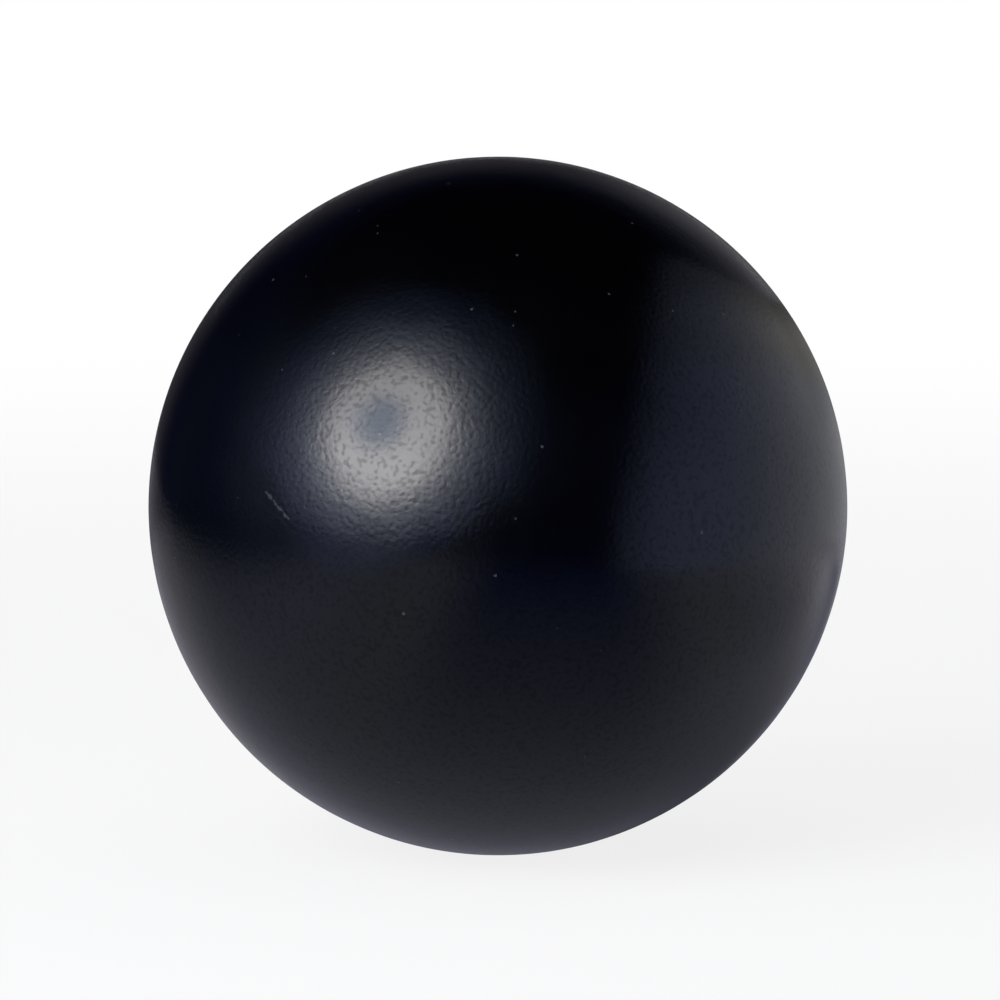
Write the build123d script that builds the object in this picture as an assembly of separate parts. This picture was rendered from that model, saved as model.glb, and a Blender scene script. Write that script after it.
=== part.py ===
from build123d import *
import os
from math import sqrt

# Squash ball: a hollow rubber ball of two moulded half shells, bonded rim to rim.
# The origin is the ball's centre and +Z is up. The seam lies in the XZ plane, and
# +Y runs square to it along the moulding axis, from the front half to the rear half.

# Driving dimensions in millimetres
BALL_DIAMETER = 40.0
WALL = 5.0
RIM_EDGE_ROUND = 0.08
BOND_THICKNESS = 0.2
BEAD_WIDTH = 2.0
BEAD_HEIGHT = 0.4

# Radii of the skin and of the air chamber, and each rim's distance from the seam plane
SKIN_RADIUS = BALL_DIAMETER / 2
CHAMBER_RADIUS = SKIN_RADIUS - WALL
RIM_OFFSET = BOND_THICKNESS / 2


def section_point(radius, along):
    """Point of the half section at this radius from the centre and this place along the axis."""
    return Vector(sqrt(radius**2 - along**2), along)


# Centre of the small round that buffing leaves on a rim's outer edge
EDGE_CENTRE = section_point(SKIN_RADIUS - RIM_EDGE_ROUND, RIM_OFFSET + RIM_EDGE_ROUND)


def turned(*edges):
    """Solid of revolution about the moulding axis from the closed outline of a half section."""
    return revolve(make_face(edges), Axis.Y)


def half_shell():
    """Rear half of the wall: an even bowl with a flat rim, eased at its outer edge by buffing."""
    rim_inside = section_point(CHAMBER_RADIUS, RIM_OFFSET)
    rim_outside = Vector(EDGE_CENTRE.X, RIM_OFFSET)
    skin_edge = EDGE_CENTRE.normalized() * SKIN_RADIUS
    edge_outward = (rim_outside + skin_edge - EDGE_CENTRE * 2).normalized()
    skin_pole = Vector(0, SKIN_RADIUS)
    skin_middle = (skin_edge + skin_pole).normalized() * SKIN_RADIUS
    chamber_pole = Vector(0, CHAMBER_RADIUS)
    chamber_middle = (rim_inside + chamber_pole).normalized() * CHAMBER_RADIUS
    return turned(
        Line(rim_inside, rim_outside),
        ThreePointArc(rim_outside, EDGE_CENTRE + edge_outward * RIM_EDGE_ROUND, skin_edge),
        ThreePointArc(skin_edge, skin_middle, skin_pole),
        Line(skin_pole, chamber_pole),
        ThreePointArc(chamber_pole, chamber_middle, rim_inside),
    )


def bonded_edges(side):
    """Outline of the adhesive where it grips one half: across its rim, then along its chamber wall."""
    web_outside = Vector(EDGE_CENTRE.X, side * RIM_OFFSET)
    web_inside = section_point(CHAMBER_RADIUS, side * RIM_OFFSET)
    bead_edge = section_point(CHAMBER_RADIUS, side * BEAD_WIDTH / 2)
    wall_middle = (web_inside + bead_edge).normalized() * CHAMBER_RADIUS
    across_rim = Line(web_outside, web_inside)
    along_wall = ThreePointArc(web_inside, wall_middle, bead_edge)
    return across_rim, along_wall


def seam_adhesive():
    """Cured adhesive: a flat web between the rims and the bead that was pressed into the chamber."""
    front_rim, front_wall = bonded_edges(-1)
    rear_rim, rear_wall = bonded_edges(1)
    bead_crest = Vector(CHAMBER_RADIUS - BEAD_HEIGHT, 0)
    return turned(
        Line(front_rim @ 0, rear_rim @ 0),
        rear_rim,
        rear_wall,
        ThreePointArc(rear_wall @ 1, bead_crest, front_wall @ 1),
        front_wall,
        front_rim,
    )


rear_shell = half_shell()
nodes = {
    "front_half_shell": mirror(rear_shell, about=Plane.XZ),
    "rear_half_shell": rear_shell,
    "seam_adhesive": seam_adhesive(),
}

os.makedirs("parts", exist_ok=True)
for name, solid in nodes.items():
    export_step(solid, f"parts/{name}.step")
    print(name, "volume", round(solid.volume, 1), "mm3")
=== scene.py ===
import math

import bpy
import numpy as np
from bpy.props import FloatProperty, FloatVectorProperty, IntProperty, PointerProperty
from mathutils import Matrix, Vector


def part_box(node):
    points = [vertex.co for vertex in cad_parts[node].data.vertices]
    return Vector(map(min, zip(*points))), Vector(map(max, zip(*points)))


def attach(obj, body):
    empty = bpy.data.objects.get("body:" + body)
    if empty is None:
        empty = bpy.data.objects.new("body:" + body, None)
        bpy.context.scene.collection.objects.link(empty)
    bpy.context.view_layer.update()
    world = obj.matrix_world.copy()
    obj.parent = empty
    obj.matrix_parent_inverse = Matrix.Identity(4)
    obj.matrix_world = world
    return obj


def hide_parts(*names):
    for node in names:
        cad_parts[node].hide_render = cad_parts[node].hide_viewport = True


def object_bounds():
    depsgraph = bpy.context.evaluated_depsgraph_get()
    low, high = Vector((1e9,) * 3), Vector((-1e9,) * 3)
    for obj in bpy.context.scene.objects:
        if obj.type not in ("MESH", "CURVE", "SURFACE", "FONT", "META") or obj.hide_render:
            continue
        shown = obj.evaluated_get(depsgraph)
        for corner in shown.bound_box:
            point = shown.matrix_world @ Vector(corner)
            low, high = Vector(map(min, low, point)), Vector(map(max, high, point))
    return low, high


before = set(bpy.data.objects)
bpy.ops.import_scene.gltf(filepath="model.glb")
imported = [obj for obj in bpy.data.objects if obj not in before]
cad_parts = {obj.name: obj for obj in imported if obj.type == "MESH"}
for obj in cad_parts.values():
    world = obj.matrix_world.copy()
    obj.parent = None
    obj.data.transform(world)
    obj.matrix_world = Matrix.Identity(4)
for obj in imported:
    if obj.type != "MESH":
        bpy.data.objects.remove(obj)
CAD_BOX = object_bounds()

bl_info = {
    "name": "Squash Ball",
    "version": (1, 0, 0),
    "blender": (4, 5, 0),
    "location": "View3D > Sidebar > Squash Ball",
    "description": "Dresses a bonded rubber ball: two half shells, the seam between them and a plain stage",
    "category": "Mesh",
}

# Width and height of the picture in pixels, and the camera's sensor in millimetres
PICTURE = 1000
SENSOR_WIDTH = 36.0

# Angle between faces from which an edge stays sharp
HARD_CORNER = math.radians(40.0)

# Seeds of the front and rear skins' ripples and of the adhesive's lumps
SKIN_SEEDS = {-1: 11, 1: 23}
LUMP_SEED = 5

# Gap between the floor and the table top that only reflections show
TABLE_GAP = 5.0e-5


def node_points(name):
    """Every vertex of a frame node, as an array of rows in metres."""
    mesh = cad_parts[name].data
    flat = np.empty(len(mesh.vertices) * 3)
    mesh.vertices.foreach_get("co", flat)
    return flat.reshape(-1, 3)


# Sizes that the frame already holds
REAR_RADII = np.linalg.norm(node_points("rear_half_shell"), axis=1)
SEAM_POINTS = node_points("seam_adhesive")
SKIN_RADIUS = float(REAR_RADII.max())
CHAMBER_RADIUS = float(REAR_RADII.min())
RIM_OFFSET = float(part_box("rear_half_shell")[0].y)
WEB_RADIUS = float(np.hypot(SEAM_POINTS[:, 0], SEAM_POINTS[:, 2]).max())
BEAD_CREST = float(np.hypot(SEAM_POINTS[:, 0], SEAM_POINTS[:, 2]).min())
BEAD_REACH = float(SEAM_POINTS[:, 1].max())
FLOOR_LEVEL = float(CAD_BOX[0].z)


class HalfShellSettings(bpy.types.PropertyGroup):
    """Shape and finish of the two rubber half shells"""

    skin_cells: IntProperty(
        name="Skin Cells",
        description="Cells along each side of the square grid that is folded onto a half shell's skin",
        default=280,
        min=16,
    )
    chamber_cells: IntProperty(
        name="Chamber Cells",
        description="Cells along each side of the chamber wall's grid, a whole fraction of the skin's",
        default=70,
        min=4,
    )
    swell_length: FloatProperty(
        name="Swell Length",
        description="Distance between the broad swells that buffing leaves on the skin",
        default=0.009,
        unit="LENGTH",
    )
    swell_height: FloatProperty(
        name="Swell Height",
        description="Root mean square height of the broad swells",
        default=4.0e-6,
        unit="LENGTH",
    )
    peel_length: FloatProperty(
        name="Peel Length",
        description="Distance between the ripples of the moulded skin",
        default=0.0022,
        unit="LENGTH",
    )
    peel_height: FloatProperty(
        name="Peel Height",
        description="Root mean square height of the skin's ripples",
        default=1.6e-6,
        unit="LENGTH",
    )
    grain_scale: FloatProperty(
        name="Grain Scale",
        description="Grains of the skin per metre",
        default=3400.0,
    )
    grain_depth: FloatProperty(
        name="Grain Depth",
        description="Height of the skin's soft grain",
        default=7.2e-6,
        unit="LENGTH",
    )
    pit_scale: FloatProperty(
        name="Pit Scale",
        description="Small pits of the skin per metre",
        default=3800.0,
    )
    pit_depth: FloatProperty(
        name="Pit Depth",
        description="Depth of the skin's small pits",
        default=2.0e-6,
        unit="LENGTH",
    )
    # Painted shade: the share by which a pit's shine is dimmed stands in for the shade in its hollow
    pit_shade: FloatProperty(
        name="Pit Dullness",
        description="Share of the skin's shine that a pit loses",
        default=0.24,
        min=0.0,
        max=1.0,
    )
    pit_roughness: FloatProperty(
        name="Pit Roughness",
        description="Roughness that the middle of a pit adds to the skin's own",
        default=0.05,
        min=0.0,
        max=1.0,
    )
    shine: FloatProperty(
        name="Shine",
        description="How strongly the skin mirrors the room",
        default=0.6,
        min=0.0,
        max=1.0,
    )
    rubber_colour: FloatVectorProperty(
        name="Rubber Colour",
        description="Colour of the black rubber",
        default=(0.0005, 0.0005, 0.0008),
        subtype="COLOR",
        min=0.0,
        max=1.0,
    )
    dust_colour: FloatVectorProperty(
        name="Dust Colour",
        description="Colour of the specks of dust and of the scratch on the skin",
        default=(0.038, 0.038, 0.043),
        subtype="COLOR",
        min=0.0,
        max=1.0,
    )
    dust_scale: FloatProperty(
        name="Dust Scale",
        description="Cells of space per metre that each hold one grain of dust, seen where it meets the skin",
        default=800.0,
    )
    scratch_start: FloatVectorProperty(
        name="Scratch Start",
        description="Upper end of the light scratch on the front half",
        default=(-0.01264, -0.01532, 0.00236),
        subtype="XYZ",
        unit="LENGTH",
    )
    scratch_end: FloatVectorProperty(
        name="Scratch End",
        description="Lower end of the light scratch on the front half",
        default=(-0.01139, -0.01641, 0.00103),
        subtype="XYZ",
        unit="LENGTH",
    )
    scratch_width: FloatProperty(
        name="Scratch Width",
        description="Width of the light scratch",
        default=1.4e-4,
        unit="LENGTH",
    )
    gloss_low: FloatProperty(
        name="Glossiest Roughness",
        description="Roughness of the patches that handling has polished",
        default=0.15,
        min=0.0,
        max=1.0,
    )
    gloss_high: FloatProperty(
        name="Dullest Roughness",
        description="Roughness of the patches that are still as buffed",
        default=0.20,
        min=0.0,
        max=1.0,
    )


class SeamSettings(bpy.types.PropertyGroup):
    """Shape and finish of the cured adhesive in the seam"""

    turns: IntProperty(
        name="Segments",
        description="Segments round the ring of adhesive",
        default=720,
        min=24,
    )
    sag: FloatProperty(
        name="Sag",
        description="How far the adhesive shrinks below the rims' edges as it cures",
        default=3.0e-5,
        unit="LENGTH",
    )
    colour: FloatVectorProperty(
        name="Adhesive Colour",
        description="Colour of the cured adhesive",
        default=(0.012, 0.012, 0.012),
        subtype="COLOR",
        min=0.0,
        max=1.0,
    )


class StageSettings(bpy.types.PropertyGroup):
    """Camera, floor and lights"""

    lens: FloatProperty(
        name="Lens",
        description="Focal length of the camera",
        default=200.0,
        unit="CAMERA",
    )
    elevation: FloatProperty(
        name="Elevation",
        description="Height of the camera above the ball's level",
        default=math.radians(6.0),
        subtype="ANGLE",
    )
    outline_centre: FloatVectorProperty(
        name="Outline Centre",
        description="Centre of the ball's outline in the picture, in pixels from its upper left corner",
        default=(497.9, 506.0),
        size=2,
    )
    outline_radius: FloatProperty(
        name="Outline Radius",
        description="Radius of the ball's outline in the picture, in pixels",
        default=349.7,
    )
    glint: FloatVectorProperty(
        name="Glint",
        description="Where the middle of the lamp shows on the ball, in pixels of the picture",
        default=(387.0, 429.5),
        size=2,
    )
    dim_spot: FloatVectorProperty(
        name="Dim Spot",
        description="Where the lamp's dim spot shows on the ball, in pixels of the picture",
        default=(379.5, 421.5),
        size=2,
    )
    lamp_distance: FloatProperty(
        name="Lamp Distance",
        description="Distance of the lamp from the ball",
        default=0.32,
        unit="LENGTH",
    )
    lamp_spread: FloatProperty(
        name="Lamp Spread",
        description="Half angle of the lamp with its soft edge, seen from the ball",
        default=math.radians(52.0),
        subtype="ANGLE",
    )
    lamp_level: FloatProperty(
        name="Lamp Level",
        description="Brightness of the lamp's lit ring",
        default=7.1,
    )
    fill_power: FloatProperty(
        name="Fill Power",
        description="Power of the wide lamp overhead, which shows in no reflection",
        default=18.0,
        unit="POWER",
    )
    panel_corner: FloatVectorProperty(
        name="Panel Corner",
        description="Where the soft panel's upper left corner shows on the ball, in pixels of the picture",
        default=(655.0, 256.0),
        size=2,
    )
    panel_slant: FloatVectorProperty(
        name="Panel Slant",
        description="How far the panel's left edge runs to the left and its top edge down, in pixels",
        default=(56.0, 50.0),
        size=2,
    )
    panel_foot: FloatProperty(
        name="Panel Foot",
        description="Where the panel's lower edge shows on the ball, in pixels down the picture",
        default=570.0,
    )
    panel_foot_rise: FloatProperty(
        name="Panel Foot Rise",
        description="How far the panel's lower edge rises towards the ball's rim, in pixels",
        default=40.0,
    )
    panel_distance: FloatProperty(
        name="Panel Distance",
        description="Distance of the panel from the ball",
        default=0.072,
        unit="LENGTH",
    )
    panel_level: FloatProperty(
        name="Panel Level",
        description="Brightness of the soft panel",
        default=1.0,
    )
    # The table top's brightness and colour are painted light: a glowing sheet with painted shade, shadow and
    # sheen
    table_light_level: FloatProperty(
        name="Table Level",
        description="Brightness of the table top in the ball's reflection",
        default=0.34,
    )
    table_light_colour: FloatVectorProperty(
        name="Table Colour",
        description="Colour of the table top in the ball's reflection",
        default=(0.84, 0.86, 1.0),
        subtype="COLOR",
        min=0.0,
        max=1.0,
    )
    # Painted shade: the colour of the table's dark wedge towards the camera
    painted_shade_colour: FloatVectorProperty(
        name="Shade Colour",
        description="Colour of the table top where it is darkest, towards the camera",
        default=(0.02, 0.07, 0.34),
        subtype="COLOR",
        min=0.0,
        max=1.0,
    )
    surround_radius: FloatProperty(
        name="Surround Radius",
        description="Distance of the dim wall round the set",
        default=0.44,
        unit="LENGTH",
    )
    surround_elevation: FloatProperty(
        name="Surround Elevation",
        description="Height of the dim wall's top, seen from the ball",
        default=math.radians(9.5),
        subtype="ANGLE",
    )
    floor_colour: FloatVectorProperty(
        name="Floor Colour",
        description="Colour of the floor",
        default=(0.88, 0.88, 0.88),
        subtype="COLOR",
        min=0.0,
        max=1.0,
    )
    near_whiteness: FloatProperty(
        name="Near Whiteness",
        description="Share of plain white that the camera and reflections see in the floor near the ball",
        default=0.84,
        min=0.0,
        max=1.0,
    )
    far_whiteness: FloatProperty(
        name="Far Whiteness",
        description="Share of plain white that the camera and reflections see in the floor far from the ball",
        default=1.0,
        min=0.0,
        max=1.0,
    )
    room_colour: FloatVectorProperty(
        name="Room Colour",
        description="Colour of the dim room at the horizon",
        default=(0.002, 0.003, 0.022),
        subtype="COLOR",
        min=0.0,
        max=1.0,
    )
    rear_colour: FloatVectorProperty(
        name="Rear Colour",
        description="Colour of the room behind the ball at the horizon",
        default=(0.050, 0.048, 0.058),
        subtype="COLOR",
        min=0.0,
        max=1.0,
    )
    right_colour: FloatVectorProperty(
        name="Right Colour",
        description="Colour that the room gains behind the ball at the right",
        default=(0.140, 0.140, 0.148),
        subtype="COLOR",
        min=0.0,
        max=1.0,
    )


# Surfaces


def folded_square(cells):
    """Square grid folded onto the unit disc, with no pole.

    Each square ring of the grid becomes the circle of the same rank. Along it, a point's
    turn from the middle of its side grows evenly to an eighth of a circle at the corner.
    """
    side = np.linspace(-1.0, 1.0, cells + 1)
    across, up = np.meshgrid(side, side, indexing="ij")
    wide = np.abs(across) >= np.abs(up)
    rank = np.where(wide, across, up)
    divisor = np.where(rank == 0.0, 1.0, rank)
    eighth = np.pi / 4
    turn = np.where(wide, eighth * up / divisor, 2 * eighth - eighth * across / divisor)
    return rank * np.cos(turn), rank * np.sin(turn)


def bowl_directions(cells, edge_angle, side):
    """Unit vectors over a bowl about the Y axis, from the folded square by the equal-area rule.

    The sine of half a point's angle from the pole is its disc radius times the sine of half
    the edge's angle, so that all cells of the bowl are about as large.
    """
    across, up = folded_square(cells)
    rank = np.hypot(across, up)
    angle = 2 * np.arcsin(np.minimum(rank, 1.0) * math.sin(edge_angle / 2))
    share = np.sin(angle) / np.where(rank == 0.0, 1.0, rank)
    return np.stack([across * share, side * np.cos(angle), up * share], axis=-1)


def grid_quads(index):
    """Quads of an index grid."""
    corners = [index[:-1, :-1], index[1:, :-1], index[1:, 1:], index[:-1, 1:]]
    return np.stack(corners, axis=-1).reshape(-1, 4)


def grid_border(index):
    """Border of an index grid as one closed ring, from X to Z to -X to -Z."""
    return np.concatenate([index[:-1, 0], index[-1, :-1], index[:0:-1, -1], index[0, :0:-1]])


def ring_quads(outer, inner):
    """Quads between two rings of as many points."""
    corners = [outer, np.roll(outer, -1), np.roll(inner, -1), inner]
    return np.stack(corners, axis=-1)


def ring_fans(fine, coarse):
    """Triangles that join a fine ring to one with a whole fraction of its points.

    Each coarse point takes the fine edges from half a step before it to half a step after it,
    and one more triangle closes the gap to the next coarse point.
    """
    step = len(fine) // len(coarse)
    rank = np.arange(len(fine))
    owner = coarse[((rank + step // 2) // step) % len(coarse)]
    fans = np.stack([fine, np.roll(fine, -1), owner], axis=-1)
    middle = fine[(np.arange(len(coarse)) * step + step // 2) % len(fine)]
    gaps = np.stack([coarse, middle, np.roll(coarse, -1)], axis=-1)
    return np.concatenate([fans, gaps])


def ripple(points, length, waves, seed):
    """Random ripple of unit root mean square: a sum of cosine waves of random heading and phase.

    The waves' lengths lie within a third of the given one, so the ripple has that scale and
    no grid or direction of its own.
    """
    shortest, longest = 0.75, 1.33
    chance = np.random.default_rng(seed)
    heading = chance.normal(size=(waves, 3))
    heading /= np.linalg.norm(heading, axis=1, keepdims=True)
    spacing = length * chance.uniform(shortest, longest, size=(waves, 1))
    phase = chance.uniform(0.0, 2 * np.pi, size=waves)
    angle = points @ (heading * (2 * np.pi / spacing)).T + phase
    return np.cos(angle).sum(axis=1) * math.sqrt(2.0 / waves)


def skin_depth(points, settings, seed):
    """Depth of the skin under the true sphere: buffing swells and moulding ripples, never above it.

    Both fade out over the last millimetre before the seam, where the two halves were buffed as one.
    """
    swell_waves, peel_waves = 40, 90
    fade_length = 0.001
    swell = settings.swell_height * ripple(points, settings.swell_length, swell_waves, seed)
    peel = settings.peel_height * ripple(points, settings.peel_length, peel_waves, seed + 1)
    mean_depth = 3 * (settings.swell_height + settings.peel_height)
    fade = np.clip((np.abs(points[:, 1]) - RIM_OFFSET) / fade_length, 0.0, 1.0)
    return np.maximum(mean_depth + fade * (swell + peel), 0.0)


def half_shell_surface(side, settings):
    """Closed wall of one half: skin, eased rim edge, flat rim and chamber wall.

    The skin and the chamber wall are folded squares laid on two spheres. Rings about the Y axis
    join their borders: a quarter round down to the rim, then the flat rim.
    """
    edge_round = SKIN_RADIUS - math.hypot(WEB_RADIUS, RIM_OFFSET)
    edge_along = RIM_OFFSET + edge_round
    edge_steps = 5
    rim_middle = 0.6 * CHAMBER_RADIUS + 0.4 * SKIN_RADIUS

    skin_way = bowl_directions(settings.skin_cells, math.atan2(WEB_RADIUS, edge_along), side)
    sphere = skin_way.reshape(-1, 3) * SKIN_RADIUS
    depth = skin_depth(sphere, settings, SKIN_SEEDS[side])
    skin = sphere * (1 - depth / SKIN_RADIUS)[:, None]
    skin_index = np.arange(len(skin)).reshape(skin_way.shape[:2])
    border = grid_border(skin_index)
    turn = np.arctan2(skin[border, 2], skin[border, 0])
    circle = np.stack([np.cos(turn), np.zeros_like(turn), np.sin(turn)], axis=-1)

    lean = np.linspace(math.atan2(edge_along, WEB_RADIUS), -np.pi / 2, edge_steps + 1)[1:]
    sunk_radius = WEB_RADIUS - float(depth[border].mean())
    rim_away = np.append(sunk_radius + edge_round * np.cos(lean), rim_middle)
    rim_along = np.append(edge_along + edge_round * np.sin(lean), RIM_OFFSET)
    rings = circle[None, :, :] * rim_away[:, None, None]
    rings[:, :, 1] = side * rim_along[:, None]
    ring_index = len(skin) + np.arange(rings.shape[0] * rings.shape[1]).reshape(rings.shape[:2])

    chamber_way = bowl_directions(settings.chamber_cells, math.acos(RIM_OFFSET / CHAMBER_RADIUS), side)
    chamber = chamber_way.reshape(-1, 3) * CHAMBER_RADIUS
    first = len(skin) + ring_index.size
    chamber_index = first + np.arange(len(chamber)).reshape(chamber_way.shape[:2])

    loops = [border, *ring_index]
    quads = [grid_quads(skin_index), grid_quads(chamber_index)[:, ::-1]]
    quads += [ring_quads(outer, inner)[:, ::-1] for outer, inner in zip(loops, loops[1:])]
    fans = ring_fans(loops[-1], grid_border(chamber_index))[:, ::-1]
    faces = [*quads, fans]
    if side > 0:
        faces = [block[:, ::-1] for block in faces]
    return np.concatenate([skin, rings.reshape(-1, 3), chamber]), faces


def adhesive_surface(settings):
    """Closed ring of adhesive: one profile carried round the Y axis.

    The profile goes across the sagging outer face, in along the rear rim, along the chamber
    wall to the bead's edge, over the bead by one circular arc, and back the same way in front.
    """
    web_inside = math.sqrt(CHAMBER_RADIUS**2 - RIM_OFFSET**2)
    bead_edge = math.sqrt(CHAMBER_RADIUS**2 - BEAD_REACH**2)
    rise = bead_edge - BEAD_CREST
    bead_radius = (BEAD_REACH**2 + rise**2) / (2 * rise)

    face_points, side_points, bead_points = 9, 5, 11
    face_along = np.linspace(-RIM_OFFSET, RIM_OFFSET, face_points)
    face_away = np.full(face_points, WEB_RADIUS)
    web_away = np.linspace(WEB_RADIUS, web_inside, side_points + 1)[1:]
    web_along = np.full(side_points, RIM_OFFSET)
    wall_along = np.linspace(RIM_OFFSET, BEAD_REACH, side_points + 1)[1:]
    wall_away = np.sqrt(CHAMBER_RADIUS**2 - wall_along**2)
    bead_along = np.linspace(BEAD_REACH, -BEAD_REACH, bead_points + 2)[1:-1]
    bead_away = BEAD_CREST + bead_radius - np.sqrt(bead_radius**2 - bead_along**2)

    rear_away = np.concatenate([web_away, wall_away])
    rear_along = np.concatenate([web_along, wall_along])
    away = np.concatenate([face_away, rear_away, bead_away, rear_away[::-1]])
    along = np.concatenate([face_along, rear_along, bead_along, -rear_along[::-1]])

    turn = np.linspace(0.0, 2 * np.pi, settings.turns, endpoint=False)
    circle = np.stack([np.cos(turn), np.zeros_like(turn), np.sin(turn)], axis=-1)
    unevenness, lump_length, lump_waves = 0.4, 0.003, 30
    uneven = 1 + unevenness * ripple(circle * SKIN_RADIUS, lump_length, lump_waves, LUMP_SEED)
    bowed = np.where(np.arange(len(away)) < face_points, 1 - (along / RIM_OFFSET) ** 2, 0.0)
    reach = away[None, :] - settings.sag * uneven[:, None] * bowed[None, :]
    points = circle[:, None, :] * reach[:, :, None]
    points[:, :, 1] = along[None, :]

    index = np.arange(points.shape[0] * points.shape[1]).reshape(points.shape[:2])
    after = np.roll(index, -1, axis=0)
    corners = [index, np.roll(index, -1, axis=1), np.roll(after, -1, axis=1), after]
    quads = np.stack(corners, axis=-1).reshape(-1, 4)
    return points.reshape(-1, 3), [quads]


def make_piece(name, points, faces, material):
    """Mesh object at the origin from an array of points and arrays of faces, smooth but for hard corners."""
    mesh = bpy.data.meshes.new(name)
    corners = [row for block in faces for row in block.tolist()]
    mesh.from_pydata(points.tolist(), [], corners)
    mesh.polygons.foreach_set("use_smooth", np.ones(len(corners), dtype=bool))
    mesh.set_sharp_from_angle(angle=HARD_CORNER)
    mesh.materials.append(material)
    mesh.validate()
    piece = bpy.data.objects.new(name, mesh)
    bpy.context.scene.collection.objects.link(piece)
    return piece


# Materials


def new_material(name):
    """New node material, its node tree and its shader."""
    material = bpy.data.materials.new(name)
    material.use_nodes = True
    tree = material.node_tree
    return material, tree, tree.nodes["Principled BSDF"]


def feed(tree, socket, value):
    """Give a socket this value, or a link where the value is another node's output."""
    if isinstance(value, bpy.types.NodeSocket):
        tree.links.new(value, socket)
    else:
        socket.default_value = value


def add_node(tree, kind, **values):
    """New node with values or links for its named inputs."""
    node = tree.nodes.new(kind)
    for name, value in values.items():
        feed(tree, node.inputs[name.replace("_", " ")], value)
    return node


def operation_node(tree, kind, operation, values):
    """New node for an operation, with values or links for its inputs in order."""
    node = tree.nodes.new(kind)
    node.operation = operation
    for socket, value in zip(node.inputs, values):
        feed(tree, socket, value)
    return node


def math_node(tree, operation, *values):
    """Output of a Math node."""
    return operation_node(tree, "ShaderNodeMath", operation, values).outputs["Value"]


def vector_node(tree, operation, output, *values):
    """Output of a Vector Math node, which is its Vector or its Value."""
    return operation_node(tree, "ShaderNodeVectorMath", operation, values).outputs[output]


def object_place(tree):
    """Place on the object, in metres."""
    return tree.nodes.new("ShaderNodeTexCoord").outputs["Object"]


def vector_parts(tree, vector):
    """The X, Y and Z parts of a vector."""
    return tuple(add_node(tree, "ShaderNodeSeparateXYZ", Vector=vector).outputs)


def segment_distance(tree, place, start, end):
    """Distance of a place from the straight line between two points."""
    span = Vector(end) - Vector(start)
    away = vector_node(tree, "SUBTRACT", "Vector", place, tuple(start))
    share = vector_node(tree, "DOT_PRODUCT", "Value", away, tuple(span / span.length_squared))
    share = math_node(tree, "MINIMUM", math_node(tree, "MAXIMUM", share, 0.0), 1.0)
    nearest = vector_node(tree, "MULTIPLY", "Vector", share, tuple(span))
    return vector_node(tree, "DISTANCE", "Value", away, nearest)


def mixed(tree, factor, first, second, blend="MIX"):
    """Colour between two colours by a factor, or the first multiplied by the second."""
    node = tree.nodes.new("ShaderNodeMix")
    node.data_type = "RGBA"
    node.blend_type = blend
    tree.links.new(factor, node.inputs["Factor"])
    for socket, colour in ((node.inputs["A"], first), (node.inputs["B"], second)):
        if isinstance(colour, bpy.types.NodeSocket):
            tree.links.new(colour, socket)
        else:
            socket.default_value = (*colour, 1.0)
    return node.outputs["Result"]


def mapped(tree, value, low, high, to_low, to_high):
    """Value carried smoothly from one range to another and held at its ends."""
    ends = {"From_Min": low, "From_Max": high, "To_Min": to_low, "To_Max": to_high}
    node = add_node(tree, "ShaderNodeMapRange", Value=value, **ends)
    node.interpolation_type = "SMOOTHSTEP"
    return node.outputs["Result"]


def faded(tree, value, by, fade):
    """Value times a factor that follows another value through a fade.

    A fade is the start and end of its range, and its levels there.
    """
    return math_node(tree, "MULTIPLY", value, mapped(tree, by, *fade))


def colour_ramp(tree, value, stops):
    """Colour that follows a value through a few stops."""
    node = add_node(tree, "ShaderNodeValToRGB", Fac=value)
    ramp = node.color_ramp
    ramp.elements[0].position = stops[0][0]
    ramp.elements[0].color = (*stops[0][1], 1.0)
    ramp.elements[1].position = stops[-1][0]
    ramp.elements[1].color = (*stops[-1][1], 1.0)
    for position, colour in stops[1:-1]:
        ramp.elements.new(position).color = (*colour, 1.0)
    return node.outputs["Color"]


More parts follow.
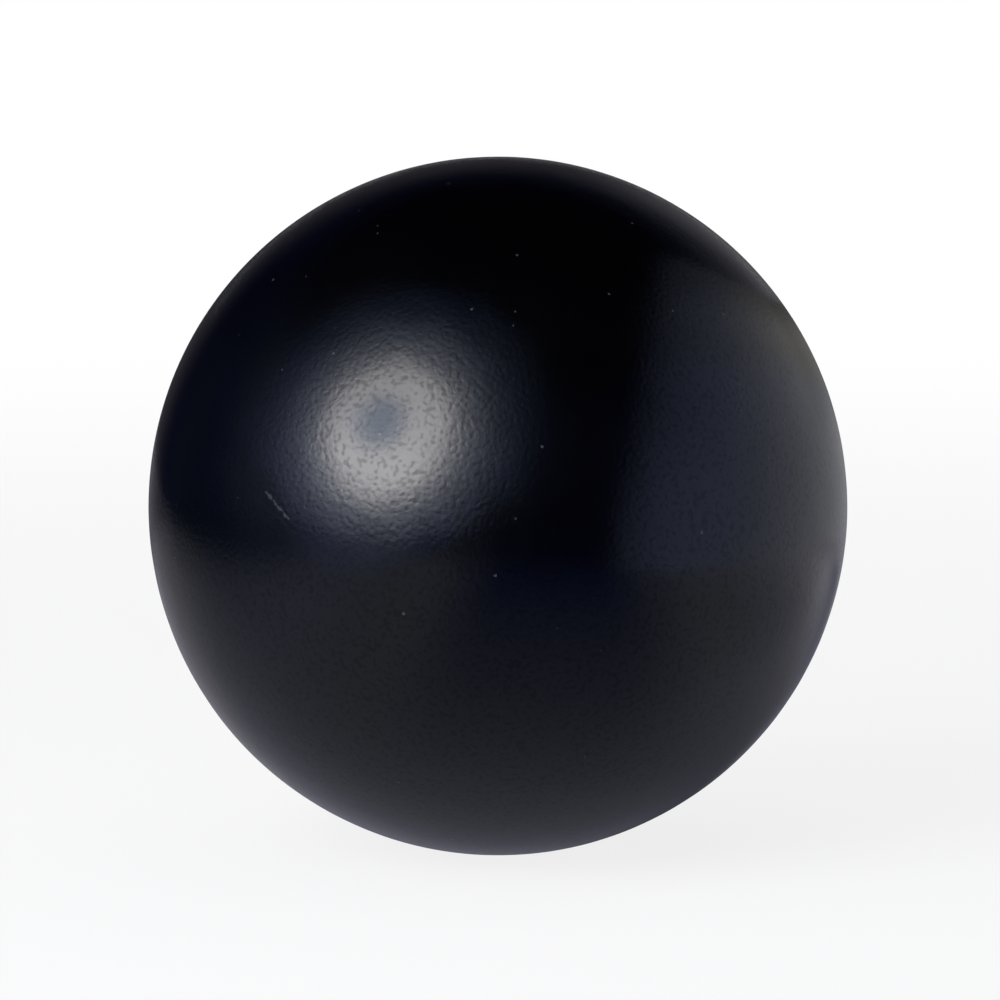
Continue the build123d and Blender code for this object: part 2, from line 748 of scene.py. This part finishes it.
def rubber_material(settings):
    """Black rubber: a soft grain with rougher pits whose dimmed shine is painted shade, patches polished by
    handling, dust and one scratch.
    """
    material, tree, shader = new_material("black_rubber")
    place = object_place(tree)

    # Grain and pits, as a height in metres
    pit_middle, pit_edge = 0.24, 0.52
    grain = add_node(tree, "ShaderNodeTexNoise", Vector=place, Scale=settings.grain_scale, Detail=0.5)
    pits = add_node(tree, "ShaderNodeTexNoise", Vector=place, Scale=settings.pit_scale, Detail=0.0)
    pit = mapped(tree, pits.outputs["Fac"], pit_middle, pit_edge, 1.0, 0.0)
    height = math_node(tree, "MULTIPLY", grain.outputs["Fac"], settings.grain_depth)
    height = math_node(tree, "MULTIPLY_ADD", pit, -settings.pit_depth, height)
    bump = add_node(tree, "ShaderNodeBump", Height=height, Distance=1.0, Strength=1.0)
    tree.links.new(bump.outputs["Normal"], shader.inputs["Normal"])

    # Polished and dull patches, and pits that mirror less: their dimmed shine is painted shade in their
    # hollows
    patch_scale, patch_low, patch_high = 160.0, 0.3, 0.7
    patches = add_node(tree, "ShaderNodeTexNoise", Vector=place, Scale=patch_scale, Detail=3.0, Roughness=0.6)
    patch = patches.outputs["Fac"]
    gloss = mapped(tree, patch, patch_low, patch_high, settings.gloss_low, settings.gloss_high)
    deepest = math_node(tree, "POWER", pit, 3.0)
    gloss = math_node(tree, "MULTIPLY_ADD", deepest, settings.pit_roughness, gloss)
    tree.links.new(gloss, shader.inputs["Roughness"])
    # Painted shade: the pits' shine is dimmed by a grey tint
    pit_shade_level = 1.0 - settings.pit_shade
    pit_shade_tint = mixed(tree, pit, (1.0, 1.0, 1.0), (pit_shade_level, pit_shade_level, pit_shade_level))
    tree.links.new(pit_shade_tint, shader.inputs["Specular Tint"])
    shader.inputs["Specular IOR Level"].default_value = settings.shine

    # Dust, a speck of random size in each cell, and a scratch with rough edges
    speck_reach, speck_edge = 0.085, 0.02
    scratch_core, scratch_edge, scratch_rag, scratch_strength = 1.15, 1.9, 2.0, 0.7
    width = settings.scratch_width
    cells = add_node(tree, "ShaderNodeTexVoronoi", Vector=place, Scale=settings.dust_scale)
    chance = add_node(tree, "ShaderNodeSeparateColor", Color=cells.outputs["Color"])
    speck = math_node(tree, "MULTIPLY_ADD", chance.outputs["Red"], -speck_reach, cells.outputs["Distance"])
    dusty = mapped(tree, speck, -speck_edge, 0.0, 1.0, 0.0)
    beside = segment_distance(tree, place, settings.scratch_start, settings.scratch_end)
    beside = math_node(tree, "MULTIPLY_ADD", grain.outputs["Fac"], scratch_rag * width, beside)
    scratched = mapped(tree, beside, scratch_core * width, scratch_edge * width, scratch_strength, 0.0)
    marked = math_node(tree, "MAXIMUM", dusty, scratched)
    colour = mixed(tree, marked, settings.rubber_colour, settings.dust_colour)
    tree.links.new(colour, shader.inputs["Base Color"])
    return material


def adhesive_material(settings):
    """Cured adhesive: duller and a little greyer than the rubber, with a fine uneven surface."""
    material, tree, shader = new_material("cured_adhesive")
    place = object_place(tree)
    lump_scale, lump_depth = 5000.0, 1.0e-5
    dull_fade = (0.3, 0.7, 0.38, 0.5)
    lumps = add_node(tree, "ShaderNodeTexNoise", Vector=place, Scale=lump_scale, Detail=2.0, Roughness=0.5)
    bump = add_node(tree, "ShaderNodeBump", Height=lumps.outputs["Fac"], Distance=lump_depth, Strength=1.0)
    tree.links.new(bump.outputs["Normal"], shader.inputs["Normal"])
    dull = mapped(tree, lumps.outputs["Fac"], *dull_fade)
    tree.links.new(dull, shader.inputs["Roughness"])
    shader.inputs["Base Color"].default_value = (*settings.colour, 1.0)
    shader.inputs["Specular IOR Level"].default_value = 0.5
    return material


def floor_material(stage):
    """Matt pale floor that the camera and reflections see nearly white, and that keeps the ball's shadow.

    The share of plain white grows with the distance from the ball.
    """
    near, far = 0.05, 0.40
    material, tree, shader = new_material("pale_floor")
    shader.inputs["Base Color"].default_value = (*stage.floor_colour, 1.0)
    shader.inputs["Roughness"].default_value = 0.9
    shader.inputs["Specular IOR Level"].default_value = 0.0
    white = add_node(tree, "ShaderNodeEmission", Strength=1.0)
    path = tree.nodes.new("ShaderNodeLightPath")
    seen = math_node(tree, "ADD", path.outputs["Is Camera Ray"], path.outputs["Is Glossy Ray"])
    seen = math_node(tree, "ADD", seen, path.outputs["Is Transmission Ray"])
    reach = vector_node(tree, "LENGTH", "Value", object_place(tree))
    share = faded(tree, seen, reach, (near, far, stage.near_whiteness, stage.far_whiteness))
    mix = add_node(tree, "ShaderNodeMixShader", Fac=share)
    tree.links.new(shader.outputs["BSDF"], mix.inputs[1])
    tree.links.new(white.outputs["Emission"], mix.inputs[2])
    tree.links.new(mix.outputs["Shader"], tree.nodes["Material Output"].inputs["Surface"])
    return material


def glow_material(name):
    """Material that only shines, its node tree and its emission node."""
    material, tree, shader = new_material(name)
    tree.nodes.remove(shader)
    emission = tree.nodes.new("ShaderNodeEmission")
    tree.links.new(emission.outputs["Emission"], tree.nodes["Material Output"].inputs["Surface"])
    return material, tree, emission


# Stage


def stage_sheet(name, points, material):
    """Stage object from a grid of points."""
    index = np.arange(points.shape[0] * points.shape[1]).reshape(points.shape[:2])
    sheet = make_piece(name, points.reshape(-1, 3), [grid_quads(index)], material)
    return sheet


def only_reflected(sheet):
    """Leave a card to the reflections alone: it neither shows nor shades anything."""
    sheet.visible_camera = False
    sheet.visible_diffuse = False
    sheet.visible_transmission = False
    sheet.visible_shadow = False


def camera_axes(stage):
    """Right, up and back vectors of a camera that looks along +Y from its elevation, one per row."""
    rise, run = math.sin(stage.elevation), math.cos(stage.elevation)
    return np.array([[1.0, 0.0, 0.0], [0.0, rise, run], [0.0, -run, rise]])


def camera_scale(stage):
    """Tangent of the angle of one pixel, and the camera's distance for the ball's outline in the picture."""
    pixel_slope = SENSOR_WIDTH / stage.lens / PICTURE
    distance = SKIN_RADIUS / math.sin(math.atan(stage.outline_radius * pixel_slope))
    return pixel_slope, distance


def mirror_points(stage, across, down, distance):
    """Points at a distance from the ball's skin, along the directions it mirrors at these pixels.

    The ray from the camera through each pixel meets the sphere and turns there by the law of reflection.
    """
    pixel_slope, camera_distance = camera_scale(stage)
    right = (across - stage.outline_centre[0]) * pixel_slope
    up = (stage.outline_centre[1] - down) * pixel_slope
    ray = np.stack([right, up, -np.ones_like(right)], axis=-1)
    ray /= np.linalg.norm(ray, axis=-1, keepdims=True)
    halfway = -camera_distance * ray[..., 2]
    inside = np.sqrt(np.maximum(SKIN_RADIUS**2 - camera_distance**2 + halfway**2, 0.0))
    skin = ray * (halfway - inside)[..., None] + np.array([0.0, 0.0, camera_distance])
    normal = skin / np.linalg.norm(skin, axis=-1, keepdims=True)
    turned = ray - 2 * (ray * normal).sum(axis=-1, keepdims=True) * normal
    return (skin + turned * distance) @ camera_axes(stage)


def add_camera(stage):
    """Camera whose distance and shift give the ball's outline its size and place in the picture."""
    data = bpy.data.cameras.new("camera")
    data.lens = stage.lens
    data.sensor_width = SENSOR_WIDTH
    data.shift_x = 0.5 - stage.outline_centre[0] / PICTURE
    data.shift_y = stage.outline_centre[1] / PICTURE - 0.5
    data.clip_start = 0.01
    back = Vector(camera_axes(stage)[2])
    camera = bpy.data.objects.new("camera", data)
    camera.location = back * camera_scale(stage)[1]
    camera.rotation_euler = back.to_track_quat("Z", "Y").to_euler()
    bpy.context.scene.collection.objects.link(camera)
    bpy.context.scene.camera = camera


def turned_profile(away, level, steps):
    """Points of a profile of radii and heights that is turned about the Z axis in even steps."""
    turn = np.linspace(0.0, 2 * np.pi, steps + 1)
    rows = [np.outer(away, np.cos(turn)), np.outer(away, np.sin(turn)), np.outer(level, np.ones_like(turn))]
    return np.stack(rows, axis=-1)


def add_floor(stage):
    """Pale floor: flat under the ball, then rising with the square of the distance beyond the flat."""
    flat_radius, outer_radius, rise = 0.45, 0.90, 0.16
    inner_radii = [0.0, 0.1, 0.25]
    away = np.append(inner_radii, np.linspace(flat_radius, outer_radius, 25))
    lift = rise * (np.maximum(away - flat_radius, 0.0) / (outer_radius - flat_radius)) ** 2
    stage_sheet("floor", turned_profile(away, FLOOR_LEVEL + lift, steps=96), floor_material(stage))


def towards_lamp(tree, way, stage):
    """Cosine of the angle between a direction and the lamp's."""
    lamp_place = mirror_points(stage, *np.array(stage.glint), stage.lamp_distance)
    return vector_node(tree, "DOT_PRODUCT", "Value", way, tuple(lamp_place / np.linalg.norm(lamp_place)))


def room_glow(tree, way, stage):
    """Colour of the dim room in a direction, and the direction's height.

    Neutral behind the ball and brighter there to the right, with a wide cool glow round the
    lamp's direction at the left.
    """
    stops = [
        (0.10, (0.014, 0.022, 0.044)),
        (0.28, (0.014, 0.024, 0.060)),
        (0.44, (0.026, 0.040, 0.095)),
        (0.57, (0.068, 0.090, 0.165)),
        (0.68, (0.110, 0.135, 0.225)),
        (0.76, (0.170, 0.190, 0.300)),
    ]
    left_across, left_height = (-0.82, -0.50, 1.0, 0.0), (0.28, 0.50, 1.0, 0.5)
    right_across, right_deep = (0.05, 0.30, 0.0, 1.0), (0.30, 0.65, 0.0, 1.0)
    right_height = (0.05, 0.72, 1.0, 0.0)
    rear_deep = (0.76, 0.97, 0.0, 1.0)
    across, deep, height = vector_parts(tree, way)
    glow = colour_ramp(tree, towards_lamp(tree, way, stage), stops)
    left = faded(tree, mapped(tree, across, *left_across), height, left_height)
    aside = faded(tree, mapped(tree, across, *right_across), deep, right_deep)
    aside = faded(tree, aside, height, right_height)
    right = vector_node(tree, "MULTIPLY", "Vector", aside, tuple(stage.right_colour))
    colour = mixed(tree, left, stage.room_colour, glow)
    colour = mixed(tree, mapped(tree, deep, *rear_deep), colour, stage.rear_colour)
    return vector_node(tree, "ADD", "Vector", colour, right), height


def painted_wedge_shade(tree, from_apex):
    """Share of painted shade in the table's dark wedge.

    It has two soft sides, by the angle about its apex, and past a lit reach the light falls off
    exponentially with the distance from the apex.
    """
    left_side = (math.radians(-14.5), math.radians(7.0), 0.0, 1.0)
    right_side = (math.radians(30.0), math.radians(57.0), 1.0, 0.0)
    lit_reach, fall_length = 0.026, 0.024
    across, deep, _ = vector_parts(tree, from_apex)
    angle = math_node(tree, "ARCTAN2", across, math_node(tree, "MULTIPLY", deep, -1.0))
    sector = faded(tree, mapped(tree, angle, *left_side), angle, right_side)
    reach = vector_node(tree, "LENGTH", "Value", from_apex)
    beyond = math_node(tree, "MAXIMUM", math_node(tree, "SUBTRACT", reach, lit_reach), 0.0)
    light = math_node(tree, "EXPONENT", math_node(tree, "DIVIDE", beyond, -fall_length))
    return math_node(tree, "MULTIPLY", sector, math_node(tree, "SUBTRACT", 1.0, light))


def table_material(stage):
    """Painted light of the table top, a glowing sheet, by the place on it and by the direction from the
    ball's centre.

    Its painted light falls off to the left and the rear and rises to the right, with a painted sheen under
    the lamp and the room's own glow. A painted dark wedge of shade opens towards the camera, and a painted
    shadow of the ball lies behind it at the right.
    """
    material, tree, emission = glow_material("table_painted_light")
    place = object_place(tree)
    way = vector_node(tree, "NORMALIZE", "Vector", place)
    flat = vector_node(tree, "MULTIPLY", "Vector", place, (1.0, 1.0, 0.0))

    # Painted shade: a dark wedge towards the camera
    wedge_apex, wedge_turn = (-0.008, 0.012, 0.0), math.radians(22.0)
    from_apex = vector_node(tree, "SUBTRACT", "Vector", flat, wedge_apex)
    colour = mixed(tree, painted_wedge_shade(tree, from_apex), stage.table_light_colour, stage.painted_shade_colour)

    # Painted falloff of the light at the left end, which leans outwards behind the ball
    left_lean, left_end = 0.35, (-0.150, -0.005, 0.0, stage.table_light_level)
    across, deep, _ = vector_parts(tree, flat)
    edge = math_node(tree, "MULTIPLY_ADD", math_node(tree, "MAXIMUM", deep, 0.0), left_lean, across)
    strength = mapped(tree, edge, *left_end)

    # Painted falloff of the light at the rear ends and front end, and its painted rise at the right side,
    # each by the distance along its own direction
    front_way = (math.sin(wedge_turn), -math.cos(wedge_turn), 0.0)
    ends = (
        (flat, (-0.60, 0.80, 0.0), (0.03, 0.17, 1.0, 0.75)),
        (flat, (0.35, 0.94, 0.0), (0.065, 0.120, 1.0, 0.5)),
        (flat, (0.90, 0.45, 0.0), (0.03, 0.11, 1.0, 1.62)),
        (from_apex, front_way, (0.08, 0.14, 1.0, 0.15)),
    )
    for start, end_way, fade in ends:
        along = vector_node(tree, "DOT_PRODUCT", "Value", start, end_way)
        strength = faded(tree, strength, along, fade)

    # Painted soft shadow of the ball
    painted_shadow_start, painted_shadow_end = (0.009, 0.0105, 0.0), (0.052, 0.080, 0.0)
    painted_shadow_fade = (0.004, 0.027, 0.25, 1.0)
    strength = faded(tree, strength, segment_distance(tree, flat, painted_shadow_start, painted_shadow_end), painted_shadow_fade)

    # Colour of the painted light: neutral behind the ball and cooler in front
    rear_colour, rear_fade = (0.95, 0.925, 1.00), (0.05, 0.50, 0.0, 1.0)
    colour = mixed(tree, mapped(tree, vector_parts(tree, way)[1], *rear_fade), colour, rear_colour)
    lit = vector_node(tree, "MULTIPLY", "Vector", colour, strength)

    # Painted sheen under the lamp, and the room's glow
    glow_share = (0.65, 0.65, 0.80)
    stops = [
        (0.74, (0.000, 0.000, 0.000)),
        (0.80, (0.060, 0.100, 0.250)),
        (0.84, (0.220, 0.280, 0.450)),
        (0.90, (0.800, 0.850, 1.000)),
    ]
    painted_sheen = colour_ramp(tree, towards_lamp(tree, way, stage), stops)
    glow = vector_node(tree, "MULTIPLY", "Vector", room_glow(tree, way, stage)[0], glow_share)
    lit = vector_node(tree, "ADD", "Vector", lit, painted_sheen)
    tree.links.new(vector_node(tree, "ADD", "Vector", lit, glow), emission.inputs["Color"])
    return material


def add_table(stage):
    """Dim table top round the ball, a flat disc that only its reflection shows, whose glow is painted light
    with a painted shadow, shade and sheen.
    """
    level = FLOOR_LEVEL + TABLE_GAP
    points = turned_profile([0.0, stage.surround_radius], [level, level], steps=48)
    only_reflected(stage_sheet("table", points, table_material(stage)))


def add_surround(stage):
    """Dim wall round the set, which only the ball's reflection shows, in front of the floor's rise. Its glow
    is painted light: the dim room's colours on a sheet that lights nothing.
    """
    radius = stage.surround_radius
    top = radius * math.tan(stage.surround_elevation)
    points = turned_profile([radius, radius], [FLOOR_LEVEL, top], steps=48)
    material, tree, emission = glow_material("wall_glow")
    way = vector_node(tree, "NORMALIZE", "Vector", object_place(tree))
    tree.links.new(room_glow(tree, way, stage)[0], emission.inputs["Color"])
    only_reflected(stage_sheet("surround", points.swapaxes(0, 1), material))


def lamp_material(stage, radius, spot):
    """Glow of the lamp by the place on its disc: bright middle, long soft edge and dim cool spot.

    It is brighter below its middle than above, and adds its light to what lies behind it.
    """
    stops = [
        (0.227, (1.000, 0.980, 1.000)),
        (0.297, (0.600, 0.595, 0.630)),
        (0.344, (0.300, 0.310, 0.350)),
        (0.391, (0.170, 0.185, 0.230)),
        (0.492, (0.070, 0.080, 0.115)),
        (0.625, (0.019, 0.025, 0.046)),
        (0.742, (0.008, 0.012, 0.025)),
        (0.860, (0.004, 0.006, 0.013)),
        (1.000, (0.000, 0.000, 0.000)),
    ]
    spot_fade, spot_tint = (0.100 * radius, 0.135 * radius, 1.0, 0.0), (0.38, 0.46, 0.57)
    middle_half = 0.27 * radius
    below, above = 1.20 * stage.lamp_level, 0.80 * stage.lamp_level
    material, tree, emission = glow_material("lamp_glow")
    place = object_place(tree)
    reach = math_node(tree, "DIVIDE", vector_node(tree, "LENGTH", "Value", place), radius)
    from_spot = vector_node(tree, "DISTANCE", "Value", place, spot)
    dim = mapped(tree, from_spot, *spot_fade)
    colour = mixed(tree, dim, colour_ramp(tree, reach, stops), spot_tint, "MULTIPLY")
    tree.links.new(colour, emission.inputs["Color"])
    level = mapped(tree, vector_parts(tree, place)[1], -middle_half, middle_half, below, above)
    tree.links.new(level, emission.inputs["Strength"])
    clear = tree.nodes.new("ShaderNodeBsdfTransparent")
    both = tree.nodes.new("ShaderNodeAddShader")
    tree.links.new(emission.outputs["Emission"], both.inputs[0])
    tree.links.new(clear.outputs["BSDF"], both.inputs[1])
    tree.links.new(both.outputs["Shader"], tree.nodes["Material Output"].inputs["Surface"])
    return material


def add_lamp(stage):
    """Round soft lamp where its reflection shows on the ball: a disc that faces the ball."""
    middle = Vector(mirror_points(stage, *np.array(stage.glint), stage.lamp_distance))
    turned = (-middle).to_track_quat("Z", "Y").to_matrix().to_4x4()
    stand = Matrix.Translation(middle) @ turned
    spot = stand.inverted() @ Vector(mirror_points(stage, *np.array(stage.dim_spot), stage.lamp_distance))
    radius = stage.lamp_distance * math.tan(stage.lamp_spread)
    away = np.linspace(0.0, radius, 7)
    points = turned_profile(away, np.zeros_like(away), steps=32)
    lamp = stage_sheet("lamp", points, lamp_material(stage, radius, (spot.x, spot.y, 0.0)))
    lamp.matrix_world = stand
    lamp.visible_camera = False
    lamp.visible_shadow = False


def panel_material(stage):
    """Glow of the panel by its share of the way across and down: brighter to the right and the lower left.

    It is warmer and darker near the top, and dimmer along the upper part of the right edge.
    """
    stops = [
        (0.00, (0.00, 0.00, 0.02)),
        (0.21, (0.17, 0.20, 0.34)),
        (0.48, (0.30, 0.34, 0.54)),
        (0.74, (0.48, 0.50, 0.62)),
        (0.90, (0.50, 0.51, 0.56)),
        (1.00, (0.38, 0.38, 0.40)),
    ]
    top_fade, top_tint = (0.20, 0.42, 1.0, 0.0), (0.85, 0.82, 0.72)
    top_rise = (0.0, 0.20, 0.35 * stage.panel_level, stage.panel_level)
    low_gain, left_fade = (0.45, 0.80, 0.0, 0.55), (0.20, 0.60, 1.0, 0.0)
    right_loss, high_fade = (0.84, 0.97, 0.0, -0.36), (0.35, 0.65, 1.0, 0.0)
    material, tree, emission = glow_material("panel_glow")
    share = tree.nodes.new("ShaderNodeAttribute")
    share.attribute_name = "share"
    across, fall, _ = vector_parts(tree, share.outputs["Vector"])
    colour = colour_ramp(tree, across, stops)
    colour = mixed(tree, mapped(tree, fall, *top_fade), colour, top_tint, "MULTIPLY")
    tree.links.new(colour, emission.inputs["Color"])
    level = mapped(tree, fall, *top_rise)
    low_left = faded(tree, mapped(tree, fall, *low_gain), across, left_fade)
    high_right = faded(tree, mapped(tree, across, *right_loss), fall, high_fade)
    change = math_node(tree, "ADD", low_left, high_right)
    level = math_node(tree, "MULTIPLY_ADD", level, change, level)
    tree.links.new(level, emission.inputs["Strength"])
    return material


def add_panel(stage):
    """Dim soft panel at the right, where the ball mirrors it.

    A grid over its place in the picture, from its left edge to the ball's rim and from its top
    edge down to its foot, carried to the mirrored directions at one distance.
    """
    rim_share, grid_lines = 0.997, 13
    side = np.linspace(0.0, 1.0, grid_lines)
    across, fall = np.meshgrid(side, side, indexing="ij")
    top = stage.panel_corner[1] + stage.panel_slant[1] * across**2
    foot = stage.panel_foot - stage.panel_foot_rise * across**4
    down = top + (foot - top) * fall
    left = stage.panel_corner[0] - stage.panel_slant[0] * fall
    half_width = np.sqrt(stage.outline_radius**2 - (down - stage.outline_centre[1]) ** 2)
    right = stage.outline_centre[0] + rim_share * half_width
    points = mirror_points(stage, left + (right - left) * across, down, stage.panel_distance)
    panel = stage_sheet("panel", points, panel_material(stage))
    only_reflected(panel)
    share = panel.data.attributes.new("share", "FLOAT_VECTOR", "POINT")
    share.data.foreach_set("vector", np.stack([across, fall, 0 * fall], axis=-1).ravel())


def add_fill(stage):
    """Wide lamp overhead that softens the ball's shadow and shows in no reflection."""
    width, height = 3.0, 2.0
    data = bpy.data.lights.new("fill", "AREA")
    data.energy = stage.fill_power
    data.size = width
    lamp = bpy.data.objects.new("fill", data)
    lamp.location = (0.0, 0.0, height)
    lamp.visible_glossy = False
    lamp.visible_camera = False
    bpy.context.scene.collection.objects.link(lamp)


def light_room(stage):
    """Dim room that fades to black overhead."""
    overhead_fade = (0.50, 0.80, 1.0, 0.0)
    world = bpy.data.worlds.new("room")
    world.use_nodes = True
    tree = world.node_tree
    backdrop = tree.nodes["Background"]
    way = tree.nodes.new("ShaderNodeTexCoord").outputs["Generated"]
    colour, height = room_glow(tree, way, stage)
    tree.links.new(colour, backdrop.inputs["Color"])
    tree.links.new(mapped(tree, height, *overhead_fade), backdrop.inputs["Strength"])
    bpy.context.scene.world = world


# Operators


class SQUASHBALL_OT_half_shells(bpy.types.Operator):
    """Build the two rubber half shells in place of their plain solids"""

    bl_idname = "squash_ball.half_shells"
    bl_label = "Build Half Shells"

    def execute(self, context):
        settings = context.scene.squash_ball_shells
        material = rubber_material(settings)
        for side, place in ((-1, "front"), (1, "rear")):
            points, faces = half_shell_surface(side, settings)
            piece = make_piece(f"{place}_half", points, faces, material)
            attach(piece, "root")
            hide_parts(f"{place}_half_shell")
        return {"FINISHED"}


class SQUASHBALL_OT_seam(bpy.types.Operator):
    """Build the ring of cured adhesive in the seam"""

    bl_idname = "squash_ball.seam"
    bl_label = "Build Seam"

    def execute(self, context):
        settings = context.scene.squash_ball_seam
        points, faces = adhesive_surface(settings)
        piece = make_piece("seam_ring", points, faces, adhesive_material(settings))
        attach(piece, "root")
        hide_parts("seam_adhesive")
        return {"FINISHED"}


class SQUASHBALL_OT_stage(bpy.types.Operator):
    """Set up the camera, the pale floor and the soft light"""

    bl_idname = "squash_ball.stage"
    bl_label = "Set Up Stage"

    def execute(self, context):
        stage = context.scene.squash_ball_stage
        add_camera(stage)
        add_floor(stage)
        add_table(stage)
        add_surround(stage)
        add_lamp(stage)
        add_panel(stage)
        add_fill(stage)
        light_room(stage)
        context.scene.view_settings.view_transform = "Standard"
        return {"FINISHED"}


class SQUASHBALL_PT_panel(bpy.types.Panel):
    """Sizes, colours and steps of the squash ball"""

    bl_idname = "SQUASHBALL_PT_panel"
    bl_label = "Squash Ball"
    bl_space_type = "VIEW_3D"
    bl_region_type = "UI"
    bl_category = "Squash Ball"

    def draw(self, context):
        groups = (
            (context.scene.squash_ball_shells, SQUASHBALL_OT_half_shells),
            (context.scene.squash_ball_seam, SQUASHBALL_OT_seam),
            (context.scene.squash_ball_stage, SQUASHBALL_OT_stage),
        )
        for settings, step in groups:
            box = self.layout.box()
            for name in settings.__annotations__:
                box.prop(settings, name)
            box.operator(step.bl_idname)


CLASSES = (
    HalfShellSettings,
    SeamSettings,
    StageSettings,
    SQUASHBALL_OT_half_shells,
    SQUASHBALL_OT_seam,
    SQUASHBALL_OT_stage,
    SQUASHBALL_PT_panel,
)


def register():
    """Register the classes and hang their settings on the scene."""
    for cls in CLASSES:
        bpy.utils.register_class(cls)
    bpy.types.Scene.squash_ball_shells = PointerProperty(type=HalfShellSettings)
    bpy.types.Scene.squash_ball_seam = PointerProperty(type=SeamSettings)
    bpy.types.Scene.squash_ball_stage = PointerProperty(type=StageSettings)


def unregister():
    """Take the settings and the classes away again."""
    del bpy.types.Scene.squash_ball_stage
    del bpy.types.Scene.squash_ball_seam
    del bpy.types.Scene.squash_ball_shells
    for cls in reversed(CLASSES):
        bpy.utils.unregister_class(cls)


def main():
    """Build the ball and its stage."""
    register()
    bpy.ops.squash_ball.half_shells()
    bpy.ops.squash_ball.seam()
    bpy.ops.squash_ball.stage()


if __name__ == "__main__":
    main()
